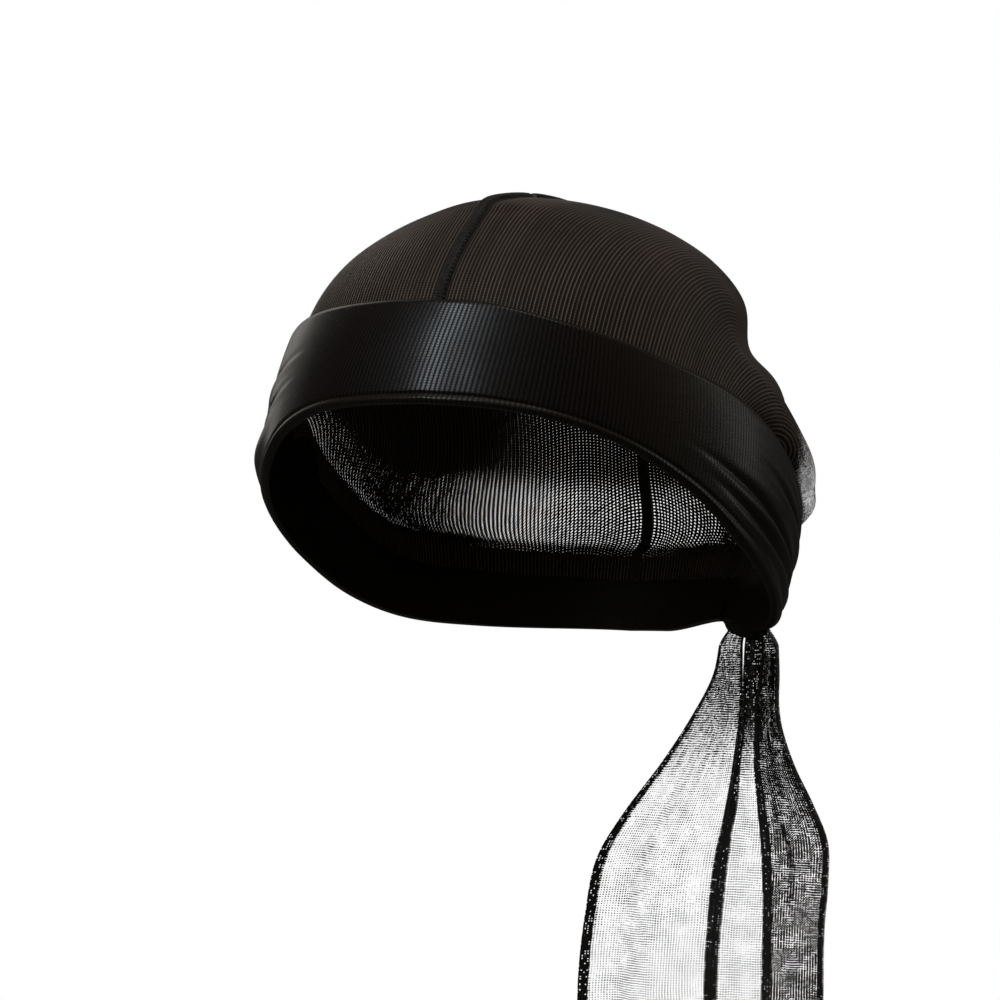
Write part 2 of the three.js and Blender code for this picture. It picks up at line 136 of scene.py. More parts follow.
# A tail's outline: drop below the knot as a share of its length, its inner and outer side and how
# far it stands behind the knot's middle as shares of TAIL_WIDTH, and where its fold ends.
LEFT_TAIL = (
    (0.0, -0.03, 0.19, 0.03, 0.6),
    (0.08, -0.05, 0.19, 0.05, 0.55),
    (0.16, -0.06, 0.185, 0.06, 0.45),
    (0.215, -0.07, 0.205, 0.06, 0.42),
    (0.31, -0.107, 0.285, 0.06, 0.38),
    (0.4, -0.135, 0.395, 0.06, 0.37),
    (0.495, -0.187, 0.49, 0.06, 0.4),
    (0.595, -0.22, 0.495, 0.06, 0.44),
    (0.715, -0.25, 0.472, 0.06, 0.48),
    (0.857, -0.27, 0.465, 0.06, 0.49),
    (1.0, -0.275, 0.46, 0.06, 0.49),
)
RIGHT_TAIL = (
    (0.0, 0.055, 0.18, 0.03, 1.0),
    (0.09, 0.07, 0.24, 0.07, 1.0),
    (0.19, 0.09, 0.38, 0.11, 1.0),
    (0.31, 0.133, 0.58, 0.14, 1.0),
    (0.45, 0.186, 0.84, 0.15, 1.0),
    (0.56, 0.239, 1.0, 0.15, 1.0),
    (0.715, 0.277, 1.08, 0.15, 1.0),
    (0.857, 0.296, 1.12, 0.15, 1.0),
    (1.0, 0.3, 1.13, 0.15, 1.0),
)

# The seam's cross section: place across it, and height as a share of its own.
SEAM_PROFILE = (
    (-0.5, 0.0),
    (-0.42, 0.55),
    (-0.28, 0.85),
    (-0.1, 1.0),
    (0.1, 0.95),
    (0.28, 0.7),
    (0.42, 0.3),
    (0.5, 0.0),
)
# The seam's serging threads: where each starts as a share of a zigzag, and how wide it swings.
SEAM_THREADS = (
    (0.0, 1.0),
    (0.5, 0.72),
)

# Sizes that several pieces share.
CROWN_WALL = 1.2 * MM
CROWN_TUCK = 8 * MM
CROWN_MARGIN = 1.5 * MM
SEAM_WIDTH = 3.4 * MM
EASE = 0.5 * MM
BAND_TURN = 58.0
WRAP_LIFT = CROWN_WALL + EASE

# The loose cloth at the back of the crown: a dip, and under it a bag with gathers and pleats.
LOOSE_FROM, LOOSE_TO = 72, 108
DIP_DEPTH = 46 * MM
DIP_HALF_HEIGHT = 9 * MM
DIP_RELIEF = 5.5 * MM
BAG_HEIGHT = 34 * MM
BAG_RELIEF = 5.5 * MM
GATHER_RELIEF = 1.6 * MM
GATHER_PITCH = 24 * MM
PLEAT_RELIEF = 0.7 * MM
PLEAT_PITCH = 7.3 * MM

# The knit starts beside the seam, in a groove on the left, and the bag is most open at one turn.
SEAM_GAP = 0.1 * MM
SIDE_MARGIN = 0.15 * MM
COLUMNS_PER_RIB = 3
SEAM_GROOVE = 0.6 * MM
SEAM_GROOVE_WIDTH = 1.3 * MM
BAG_OPENNESS = 0.33
PUFF_OPENNESS = 0.5
PUFF_TURN, PUFF_HALF_TURN = 116, 20

# The seam's threads.
THREAD_LIFT = 0.2 * MM
THREAD_SIDES = 5
POINTS_PER_ZIGZAG = 8

# The band and ties: their wall, and places across them as shares of their width.
WRAP_WALL = 2.1 * MM
WRAP_LEAST = 0.35 * MM
UPPER_ROUNDING, LOWER_ROUNDING = 0.045, 0.035
WELT_PLACE, WELT_HALF_WIDTH = 0.955, 0.028
GROOVE_PLACE, GROOVE_HALF_WIDTH = 0.905, 0.013
WELT_GROOVE = 0.45 * MM
TRIM_DULLNESS = 0.7
KNOT_PULL = 0.45

# The gathers of the ties: a puff, creases that grow over some degrees, a roll and fine ripples.
GATHER_PUFF = 0.9 * MM
CREASE_GROWTH = 34
CREASE_DRIFT = 0.02
ROLL_RELIEF = 2.6 * MM
ROLL_PLACE, ROLL_HALF_WIDTH = 0.76, 0.1
RIPPLE_RELIEF = 0.06 * MM

# The knot.
KNOT_LOW, KNOT_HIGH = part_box("nape_knot")
KNOT_MIDDLE = (KNOT_LOW + KNOT_HIGH) / 2
KNOT_TURN = 150.0
KNOT_HALF_WIDTH = 10.6 * MM
KNOT_HALF_THICKNESS = 8.6 * MM
KNOT_SQUARENESS = 0.78
KNOT_WALE, KNOT_COURSE = 1.2 * MM, 0.9 * MM

# The tails: TAIL_WIDTH scales their outlines, and a flat width is that of the cut cloth.
TAIL_WIDTH = 57 * MM
TAIL_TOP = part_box("tail_left")[1].z
TAIL_LENGTH = TAIL_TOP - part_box("tail_left")[0].z
TAIL_TUCK = 8 * MM
LEFT_SWING, RIGHT_SWING = 2.2 * MM, 3.2 * MM
LEFT_PLEAT, RIGHT_PLEAT = 0.9 * MM, 0.7 * MM
FOLD_GAP = 4.4 * MM

# The camera stands where the photograph was taken from, and its frame is square.
CAMERA_TURN = math.radians(23)
CAMERA_RISE = math.radians(1.5)
CAMERA_DISTANCE = 1.7
CAMERA_AIM = Vector((-9.0 * MM, -4.0 * MM, -95.7 * MM))
FOCAL_PIXELS = 5300
PHOTO_PIXELS = 1000
SENSOR = 36.0

# The stage. Light passes up to OPEN_LAYERS open layers of knit. A light has a name, place, size,
# power in watts and colour, and faces LIGHT_AIM.
FLOOR_GAP = 4 * MM
STAGE_REACH = 6.0
WHITE = (1.0, 1.0, 1.0, 1.0)
BLACK = (0.0, 0.0, 0.0, 1.0)
WORLD_COLOR = (1.0, 0.97, 0.94, 1.0)
WORLD_STRENGTH = 0.08
OPEN_LAYERS = 40
COOL = (0.84, 0.92, 1.0)
WARM = (1.0, 0.96, 0.9)
LIGHT_AIM = Vector((0, 0, -70 * MM))
LIGHTS = (
    ("key_strip", (-0.38, -1.01, 0.75), (0.24, 1.3), 8.5, COOL),
    ("key_side", (-0.1, -1.08, 0.75), (0.3, 1.2), 3.5, COOL),
    ("top_soft", (0.1, -0.1, 1.3), (1.0, 0.8), 4, WARM),
    ("back_left", (-1.1, 0.9, 0.5), (0.5, 1.2), 3, WARM),
    ("back_right", (1.2, 0.9, 0.4), (0.5, 1.2), 5, WARM),
)


# Curves and surfaces that the pieces follow.
def curve_through(rows, warp=np.asarray):
    """A function that reads the columns of rows as smooth curves over their first column."""
    table = np.array(rows, float)
    places, values = warp(table[:, 0]), table[:, 1:]
    slopes = np.diff(values, axis=0) / np.diff(places)[:, None]
    tangents = np.vstack([slopes[:1], (slopes[1:] + slopes[:-1]) / 2, slopes[-1:]])

    def read(place):
        at = np.clip(warp(np.asarray(place, float)), places[0], places[-1])
        low = np.clip(np.searchsorted(places, at, side="right") - 1, 0, len(places) - 2)
        step = (places[low + 1] - places[low])[..., None]
        t = (at - places[low])[..., None] / step
        start = (1 + 2 * t) * (1 - t) ** 2 * values[low] + t * (1 - t) ** 2 * step * tangents[low]
        end = t * t * (3 - 2 * t) * values[low + 1] + t * t * (t - 1) * step * tangents[low + 1]
        return start + end

    return read


def smoothstep(value, low, high):
    t = np.clip((value - low) / (high - low), 0, 1)
    return t * t * (3 - 2 * t)


def hump(value, middle, half_width):
    """1 at the middle, with a smooth fall to both sides."""
    return np.exp(-(((value - middle) / half_width) ** 2))


form_curve = curve_through(FORM_SECTIONS, np.sqrt)
edge_curve = curve_through(WRAP_EDGES)


def form_section(depth):
    """The form's half width and its reach to the front and the back at a depth below its top."""
    share = form_curve(np.maximum(depth, 0) / FORM_DEPTH)
    return (
        share[..., 0] * FORM_WIDTH / 2,
        share[..., 1] * FORM_LENGTH / 2,
        share[..., 2] * FORM_LENGTH / 2,
    )


def wrap_edge(turn):
    """Depths of the upper and lower edge of the band and ties at a turn in degrees."""
    turn = (np.asarray(turn, float) + 180) % 360 - 180
    share = edge_curve(np.abs(turn)) * FORM_DEPTH
    right = turn < 0
    upper = np.where(right, share[..., 1], share[..., 0])
    lower = np.where(right, share[..., 3], share[..., 2])
    return upper, lower


def form_point(turn, depth):
    half, front, rear = form_section(depth)
    angle = np.radians(turn)
    reach = np.where(np.cos(angle) > 0, front, rear)
    return np.stack([half * np.sin(angle), -reach * np.cos(angle), -depth + 0 * angle], -1)


def form_normal(points):
    depth = np.maximum(-points[..., 2], 0.3 * MM)
    step = 0.25 * MM
    half, front, rear = form_section(depth)
    half_up, front_up, rear_up = form_section(depth - step)
    half_down, front_down, rear_down = form_section(depth + step)
    in_front = points[..., 1] < 0
    reach = np.where(in_front, front, rear)
    reach_growth = np.where(in_front, front_down - front_up, rear_down - rear_up) / (2 * step)
    half_growth = (half_down - half_up) / (2 * step)
    x, y = points[..., 0], points[..., 1]
    slope = x**2 * half_growth / half**3 + y**2 * reach_growth / reach**3
    normal = np.stack([x / half**2, y / reach**2, slope], -1)
    return normal / np.linalg.norm(normal, axis=-1, keepdims=True)


def raised(points, lift):
    return points + form_normal(points) * np.asarray(lift)[..., None]


def last_where(holds, near, far):
    """Halves a range until it finds where a test that holds at the near end stops holding."""
    for _ in range(34):
        middle = (near + far) / 2
        inside = holds(middle)
        near, far = np.where(inside, middle, near), np.where(inside, far, middle)
    return near


# Each rib of the crown keeps its distance from the middle as far down as the widest depth.
def rib_point(offset, depth, back):
    half, front, rear = form_section(depth)
    widest = form_section(WIDEST_DEPTH)[0]
    below = depth > WIDEST_DEPTH
    reach = np.where(back, rear, -front)
    x = np.where(below, offset * half / widest, offset)
    across = offset / np.where(below, widest, half)
    return np.stack([x, reach * np.sqrt(np.maximum(1 - across**2, 0)), -depth], -1)


def turn_of(points):
    half, front, rear = form_section(-points[..., 2])
    reach = np.where(points[..., 1] < 0, front, rear)
    return np.degrees(np.arctan2(points[..., 0] / half, -points[..., 1] / reach))


def rib_edge(offset, side, back, margin):
    """The depth at which a rib lies margin below the upper edge of the band and ties."""

    def above(depth):
        return depth < wrap_edge(side * turn_of(rib_point(offset, depth, back)))[0] + margin

    return last_where(above, np.zeros_like(offset), np.full_like(offset, FORM_DEPTH))


def crown_relief(points, offset, side):
    """How far the loose cloth stands out, and its share of the bag: 1 where that is fullest."""
    turn, depth = turn_of(points), -points[..., 2]
    edge = wrap_edge(side * turn)[0] - CROWN_MARGIN
    looseness = smoothstep(turn, LOOSE_FROM, LOOSE_TO)
    dip = hump(depth, DIP_DEPTH, DIP_HALF_HEIGHT)
    above = np.clip((edge - depth) / BAG_HEIGHT, 0, 1)
    bag = np.sin(np.pi * np.sqrt(above)) ** 2
    gather = 0.5 + 0.5 * np.cos(offset / GATHER_PITCH * 2 * np.pi)
    pleat = 0.5 + 0.5 * np.cos(offset / PLEAT_PITCH * 2 * np.pi + 9 * above)
    out = bag * (BAG_RELIEF + GATHER_RELIEF * gather + PLEAT_RELIEF * pleat)
    return looseness * (out - dip * DIP_RELIEF), looseness * bag


def rib_lines(offset, run, side):
    """Points along ribs: run is -1 at the brow band, 0 at the top, 1 at the ties, 2 at the hem.

    The visible part ends just above the edge of the band and ties, and the rest is tucked in.
    """
    back = run > 0
    zero, step = np.zeros_like(offset), 1 * MM
    top = last_where(lambda depth: form_section(depth)[0] < offset, zero, zero + WIDEST_DEPTH)
    edge = np.maximum(rib_edge(offset, side, back, -CROWN_MARGIN), top + step)
    hem = np.maximum(rib_edge(offset, side, back, CROWN_TUCK), edge + step)
    reached = np.abs(run)
    visible = top + (edge - top) * np.minimum(reached, 1) ** 2
    depth = np.where(reached > 1, edge + (hem - edge) * (reached - 1), visible)
    return rib_point(offset, np.maximum(depth, 0.02 * MM), back)


# Meshes.
def add_mesh(name, points, faces, uvs=None, values=None, sharp=50):
    """A smooth mesh object. uvs and values hold one entry for each point.

    The values are a share that the finish reads: how open a sheer knit is, or how dull a satin.
    """
    mesh = bpy.data.meshes.new(name)
    points = np.asarray(points, np.float32)
    faces = np.asarray(faces, np.int32)
    mesh.vertices.add(len(points))
    mesh.vertices.foreach_set("co", points.ravel())
    mesh.loops.add(faces.size)
    mesh.loops.foreach_set("vertex_index", faces.ravel())
    mesh.polygons.add(len(faces))
    mesh.polygons.foreach_set("loop_start", np.arange(0, faces.size, faces.shape[1]))
    if uvs is not None:
        layer = mesh.uv_layers.new(name="Knit")
        layer.uv.foreach_set("vector", np.asarray(uvs, np.float32)[faces.ravel()].ravel())
    if values is not None:
        attribute = mesh.attributes.new("share", "FLOAT", "POINT")
        attribute.data.foreach_set("value", np.asarray(values, np.float32).ravel())
    mesh.update(calc_edges=True)
    mesh.validate()
    mesh.shade_smooth()
    mesh.set_sharp_from_angle(angle=math.radians(sharp))
    piece = bpy.data.objects.new(name, mesh)
    bpy.context.scene.collection.objects.link(piece)
    return piece


def shell_faces(rows, columns):
    """Faces of a closed shell between an outer and an inner grid of rows by columns points."""
    index = np.arange(rows * columns).reshape(rows, columns)
    inner = index + rows * columns

    def quads(a, b, c, d):
        return np.stack([a.ravel(), b.ravel(), c.ravel(), d.ravel()], -1)

    faces = (
        quads(index[:-1, :-1], index[:-1, 1:], index[1:, 1:], index[1:, :-1]),
        quads(inner[1:, :-1], inner[1:, 1:], inner[:-1, 1:], inner[:-1, :-1]),
        quads(inner[0, :-1], inner[0, 1:], index[0, 1:], index[0, :-1]),
        quads(index[-1, :-1], index[-1, 1:], inner[-1, 1:], inner[-1, :-1]),
        quads(index[:-1, 0], index[1:, 0], inner[1:, 0], inner[:-1, 0]),
        quads(inner[:-1, -1], inner[1:, -1], index[1:, -1], index[:-1, -1]),
    )
    return np.vstack(faces)


def add_shell(name, outer, inner, uv, value, sharp):
    """A closed shell between two grids of points, with its faces turned outwards."""
    faces = shell_faces(*outer.shape[:2])
    points = np.vstack([outer.reshape(-1, 3), inner.reshape(-1, 3)])
    a, b, c, d = (points[faces[:, k]] for k in range(4))
    volume = np.einsum("ij,ij->", a, np.cross(b, c)) + np.einsum("ij,ij->", a, np.cross(c, d))
    if volume < 0:
        faces = faces[:, ::-1]
    uvs = np.vstack([uv.reshape(-1, 2)] * 2)
    values = np.concatenate([value.ravel()] * 2)
    return add_mesh(name, points, faces, uvs, values, sharp)


def tube(path, radius, sides):
    """Points and faces of a tube along a path, with a pointed end at each side."""
    path = np.asarray(path)
    forward = np.gradient(path, axis=0)
    forward /= np.linalg.norm(forward, axis=1, keepdims=True)
    across = np.cross(forward, (0.31, 0.17, 0.94))
    across /= np.linalg.norm(across, axis=1, keepdims=True)
    other = np.cross(forward, across)
    angle = np.arange(sides) / sides * 2 * np.pi
    width = np.full(len(path), radius)
    width[[0, -1]] = radius * 0.15
    ring = across[:, None] * np.cos(angle)[:, None] + other[:, None] * np.sin(angle)[:, None]
    points = (path[:, None] + ring * width[:, None, None]).reshape(-1, 3)
    i = np.arange(len(path) - 1)[:, None] * sides
    k = np.arange(sides)
    faces = np.stack([i + k, i + (k + 1) % sides, i + sides + (k + 1) % sides, i + sides + k], -1)
    return points, faces.reshape(-1, 4)


def joined(parts):
    """Points and faces of several parts as one."""
    points, faces, start = [], [], 0
    for part_points, part_faces in parts:
        points.append(part_points)
        faces.append(part_faces + start)
        start += len(part_points)
    return np.vstack(points), np.vstack(faces)


def lengths_along(points, axis):
    """Distance along one axis of a grid of points, from its first row or column."""
    steps = np.linalg.norm(np.diff(points, axis=axis), axis=-1)
    pad = [(0, 0), (0, 0)]
    pad[axis] = (1, 0)
    return np.cumsum(np.pad(steps, pad), axis=axis)


# Finishes.
class Wire:
    """A node's output, with which shader maths is written as plain expressions."""

    def __init__(self, finish, socket):
        self.finish = finish
        self.socket = socket

    def math(self, operation, *values):
        return self.finish.add("ShaderNodeMath", {"operation": operation}, [self, *values])

    def __add__(self, other):
        return self.math("ADD", other)

    def __sub__(self, other):
        return self.math("SUBTRACT", other)

    def __rsub__(self, other):
        return self.finish.add("ShaderNodeMath", {"operation": "SUBTRACT"}, [other, self])

    def __mul__(self, other):
        return self.math("MULTIPLY", other)

    __radd__ = __add__
    __rmul__ = __mul__

    def tent(self):
        """1 at each whole number and 0 halfway between."""
        return (self.math("FRACT") - 0.5).math("ABSOLUTE") * 2

    def step(self, low, high):
        """0 at low and 1 at high, with a smooth change between."""
        settings = {"interpolation_type": "SMOOTHSTEP"}
        values = {"Value": self, "From Min": low, "From Max": high}
        return self.finish.add("ShaderNodeMapRange", settings, values)


class Finish:
    """A material that is built from nodes."""

    def __init__(self, name):
        self.material = bpy.data.materials.new(name)
        self.material.use_nodes = True
        self.tree = self.material.node_tree
        self.shader = self.tree.nodes["Principled BSDF"]

    def add(self, kind, settings=None, values=(), output=0):
        """Adds a node with its settings first and then the values or links of its sockets."""
        node = self.tree.nodes.new(kind)
        for name, value in (settings or {}).items():
            setattr(node, name, value)
        pairs = values.items() if isinstance(values, dict) else enumerate(values)
        for key, value in pairs:
            if isinstance(value, Wire):
                self.tree.links.new(value.socket, node.inputs[key])
            else:
                node.inputs[key].default_value = value
        return Wire(self, node.outputs[output])

    def knit(self):
        """The cloth's own coordinates: stitches across and stitches along."""
        uv = self.add("ShaderNodeUVMap", {"uv_map": "Knit"})
        split = self.add("ShaderNodeSeparateXYZ", None, [uv])
        return split, Wire(self, split.socket.node.outputs[1])

    def share(self):
        """The share that the piece holds at each point, of openness or dullness."""
        return self.add("ShaderNodeAttribute", {"attribute_name": "share"}, output=2)

    def chance(self, *place):
        """A random number for each stitch, or for each rib where the place is only across."""
        corner = [(axis + 0.5).math("FLOOR") for axis in place]
        cell = self.add("ShaderNodeCombineXYZ", None, corner)
        return self.add("ShaderNodeTexWhiteNoise", {"noise_dimensions": "2D"}, {"Vector": cell})

    def noise(self, scale, detail=2.0):
        place = self.add("ShaderNodeTexCoord", output=3)
        values = {"Vector": place, "Scale": scale, "Detail": detail}
        return self.add("ShaderNodeTexNoise", None, values)

    def mix(self, share, first, second):
        settings = {"data_type": "RGBA"}
        return self.add("ShaderNodeMix", settings, {0: share, 6: first, 7: second}, output=2)

    def bump(self, height, strength, distance):
        values = {"Height": height, "Strength": strength, "Distance": distance}
        return self.add("ShaderNodeBump", None, values)

    def set(self, **sockets):
        for name, value in sockets.items():
            socket = self.shader.inputs[name.replace("_", " ")]
            if isinstance(value, Wire):
                self.tree.links.new(value.socket, socket)
            else:
                socket.default_value = value
        return self.material


def rgba(color):
    return (color[0], color[1], color[2], 1.0)


def crown_finish(settings):
    """Ribbed sheer knit: thin light wales with dark open valleys between them, the valleys'
    near-black colour being painted shade.
    """
    finish = Finish("sheer_knit")
    across, along = finish.knit()
    ridge = 1 - across.tent()
    stitch = (along + ridge * 0.5).tent()
    worn = finish.noise(38)
    rib_chance = finish.chance(across + 0.5)
    lit = ridge.step(0.5, 0.98) * (0.3 + 0.7 * stitch) * (0.3 + worn * 0.9 + rib_chance * 0.5)
    # The near-black valley colour is painted shade between the ribs, warmed in places by the tint.
    valley = finish.mix(
        finish.noise(22).step(0.45, 0.72), rgba(settings.painted_valley_shade), rgba(settings.tint_color)
    )
    color = finish.mix(lit, valley, rgba(settings.thread_color))
    openness = finish.share()
    chance = finish.chance(across + 0.5, along)
    gap = (openness * 0.95 - ridge).step(-0.05, 0.05)
    dash = (openness * (0.5 + 0.5 * chance) - along.tent()).step(-0.06, 0.06)
    return finish.set(
        Base_Color=color,
        Alpha=1 - gap * dash,
        Roughness=0.6 - 0.1 * ridge,
        Specular_IOR_Level=0.1,
        Sheen_Weight=0.07,
        Sheen_Roughness=0.35,
        Normal=finish.bump(stitch * ridge, 0.35, 0.25 * MM),
    )


def satin_finish(name, settings):
    """Satin knit: slanting wales with a tight sheen, duller and browner where it is gathered, with a
    darker colour between the wales as painted shade.
    """
    finish = Finish(name)
    across, along = finish.knit()
    sway = finish.noise(26)
    wale = (across + sway * 1.1).tent()
    course = (along + wale * 0.5).tent()
    uneven = finish.noise(90)
    dull = finish.share()
    # The darker second colour, mixed in between the wales, is painted shade.
    satin = finish.mix(
        wale.step(0.1, 0.9), rgba(settings.satin_color), rgba(settings.satin_painted_shade)
    )
    sheen = (1 - wale).step(0.15, 0.85) * (0.25 + 0.75 * course) * (0.4 + 0.8 * uneven)
    return finish.set(
        Base_Color=finish.mix(dull, satin, rgba(settings.gathered_color)),
        Roughness=0.45,
        Specular_IOR_Level=0.08,
        Coat_Weight=sheen * (1 - dull * 0.72),
        Coat_Roughness=0.24,
        Normal=finish.bump(wale * 0.8 + course * 0.5, 0.3, 0.16 * MM),
    )


def thread_finish(settings):
    """Matte serging thread with fine fuzz."""
    finish = Finish("serged_thread")
    fuzz = finish.noise(900, 3.0)
    color = finish.mix(fuzz, rgba(settings.thread_dark), rgba(settings.thread_light))
    return finish.set(
        Base_Color=color,
        Roughness=0.85,
        Specular_IOR_Level=0.15,
        Sheen_Weight=0.1,
        Normal=finish.bump(fuzz, 0.5, 0.3 * MM),
    )


def tail_finish(settings):
    """Sheer knit: rows of stitches with holes as wide as the open share says."""
    finish = Finish("tail_knit")
    across, along = finish.knit()
    sway, drift, blotch = finish.noise(70), finish.noise(120), finish.noise(160)
    column = across + sway * 1.4
    row = along + drift * 1.8
    chance = finish.chance(column, row)
    openness = finish.share()
    uneven = (chance - 0.5) * (1 - openness) * openness.step(0.1, 0.3) * 1.1
    loose = openness * (0.72 + 0.5 * blotch) + uneven
    strand = (1 - loose).math("SQRT")
    solid_column = (column.tent() + strand).step(0.95, 1.05)
    solid_row = (row.tent() + strand).step(0.95, 1.05)
    pinhole = (0.5 - column.tent()).step(-0.1, 0.1) * (0.55 - row.tent()).step(-0.1, 0.1)
    pinhole = pinhole * openness.step(0.3, 0.1)
    pinhole = pinhole * finish.chance(column + 0.5, row + 0.5).step(0.7, 0.74)
    color = finish.mix(blotch, rgba(settings.strand_dark), rgba(settings.strand_light))
    return finish.set(
        Base_Color=color,
        Alpha=solid_column * solid_row * (1 - pinhole),
        Roughness=0.6,
        Specular_IOR_Level=0.2,
        Sheen_Weight=0.05,
        Normal=finish.bump(column.tent() + row.tent(), 0.25, 0.2 * MM),
    )


# Settings that a user would change.
def color_setting(name, description, default):
    return bpy.props.FloatVectorProperty(
        name=name, description=description, subtype="COLOR", size=3, min=0, max=1, default=default
    )


def length_setting(name, description, default):
    return bpy.props.FloatProperty(
        name=name, description=description, subtype="DISTANCE", unit="LENGTH", default=default
    )


class DuragCrownSettings(bpy.types.PropertyGroup):
    rib_pitch: length_setting("Rib pitch", "Distance between two ribs", 1.2 * MM)
    rib_height: length_setting("Rib height", "How far a rib stands out", 0.24 * MM)
    wall: length_setting("Wall", "Thickness of the crown's cloth", 0.5 * MM)
    stitch_length: length_setting("Stitch length", "Length of a stitch along a rib", 1.0 * MM)
    openness: bpy.props.FloatProperty(
        name="Openness", description="How open the valleys are", min=0, max=1, default=0.22
    )
    thread_color: color_setting("Rib", "Colour of the raised ribs", (0.142, 0.101, 0.073))
    # The valley colour is painted shade between the ribs.
    painted_valley_shade: color_setting("Valley", "Colour between the ribs", (0.007, 0.005, 0.0035))
    tint_color: color_setting("Tint", "Warmer colour of some valleys", (0.022, 0.012, 0.006))


class DuragBandSettings(bpy.types.PropertyGroup):
    wale_pitch: length_setting("Wale pitch", "Distance between two wales", 1.45 * MM)
    course_pitch: length_setting("Course pitch", "Distance between two rows", 0.8 * MM)
    wale_slant: bpy.props.FloatProperty(
        name="Wale slant",
        description="How far a wale moves along the band for each length across it",
        default=0.22,
    )
    satin_color: color_setting("Satin", "Colour of the satin", (0.006, 0.0035, 0.002))
    # The darker colour between the wales is painted shade.
    satin_painted_shade: color_setting("Satin shade", "Colour between its wales", (0.003, 0.0016, 0.001))
    gathered_color: color_setting("Gathered", "Colour of the gathered satin", (0.011, 0.0075, 0.0045))
    welt_height: length_setting("Welt", "Height of the welt on the lower edge", 0.5 * MM)


class DuragThreadSettings(bpy.types.PropertyGroup):
    thread_dark: color_setting("Thread shade", "Darker colour of the thread", (0.006, 0.005, 0.004))
    thread_light: color_setting("Thread", "Lighter colour of the thread", (0.036, 0.029, 0.023))
    seam_height: length_setting("Seam height", "How far the seam stands out", 1.15 * MM)
    thread_radius: length_setting("Thread radius", "Radius of the serging thread", 0.28 * MM)
    zigzag_pitch: length_setting("Zigzag", "Length of a zigzag of the thread", 1.7 * MM)


class DuragTailSettings(bpy.types.PropertyGroup):
    column_pitch: length_setting("Column pitch", "Distance between two stitches across", 0.98 * MM)
    row_pitch: length_setting("Row pitch", "Distance between two rows of stitches", 0.8 * MM)
    wall: length_setting("Wall", "Thickness of a tail's cloth", 0.3 * MM)
    hem_wall: length_setting("Hem wall", "Thickness of a tail's hems", 0.9 * MM)
    strand_dark: color_setting("Strand shade", "Darker colour of the strands", (0.007, 0.005, 0.003))
    strand_light: color_setting("Strand", "Lighter colour of the strands", (0.017, 0.013, 0.010))


# Pieces.
def dress(piece, material, node):
    """Gives a finished piece its material, hangs it on the root body and hides the frame's part that
    it stands for.
    """
    piece.data.materials.append(material)
    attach(piece, "root")
    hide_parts(node)
    return piece


def crown_panel(side, node, settings, material):
    """One half of the crown, with its ribs as real relief at one distance along the cloth."""
    first = SEAM_WIDTH / 2 + SEAM_GAP
    depths = np.linspace(0, WIDEST_DEPTH, 400)
    offsets = form_section(depths)[0]
    lengths = np.concatenate([[0], np.cumsum(np.hypot(np.diff(offsets), np.diff(depths)))])
    side_turns = np.linspace(80, 110, 61)
    side_half = form_section(wrap_edge(side * side_turns)[0])[0]
    last = np.max(side_half * np.sin(np.radians(side_turns))) + SIDE_MARGIN
    last_lane = np.interp(last, offsets, lengths)
    count = int(last_lane / settings.rib_pitch * COLUMNS_PER_RIB)
    lane = np.linspace(first, last_lane, count)
    tucked = np.linspace(1, 2, 4)[1:]
    run = np.concatenate([-tucked[::-1], np.linspace(-1, 1, 134), tucked])
    grid_lane, grid_run = np.meshgrid(lane, run)
    grid_offset = np.interp(grid_lane, lengths, offsets)
    base = rib_lines(grid_offset, grid_run, side)
    relief, bag = crown_relief(base, grid_offset, side)
    relief = relief - SEAM_GROOVE * hump(grid_lane, first, SEAM_GROOVE_WIDTH) * (side > 0)
    phase = grid_lane / settings.rib_pitch
    ridge = smoothstep(1 - np.abs(phase % 1 - 0.5) * 2, 0.1, 0.9)
    outer = raised(base, CROWN_WALL + relief + (ridge - 1) * settings.rib_height)
    inner = raised(base, CROWN_WALL + relief - settings.wall)
    for points in (outer, inner):
        points[..., 0] = side * np.maximum(points[..., 0], first)
    along = lengths_along(base, 0) / settings.stitch_length
    puff = PUFF_OPENNESS * hump(turn_of(base), PUFF_TURN, PUFF_HALF_TURN) * (side > 0)
    openness = settings.openness + (BAG_OPENNESS + puff) * smoothstep(bag, 0.1, 0.6)
    knit = np.stack([phase, along], -1)
    piece = add_shell(node + "_knit", outer, inner, knit, openness, sharp=75)
    dress(piece, material, node)


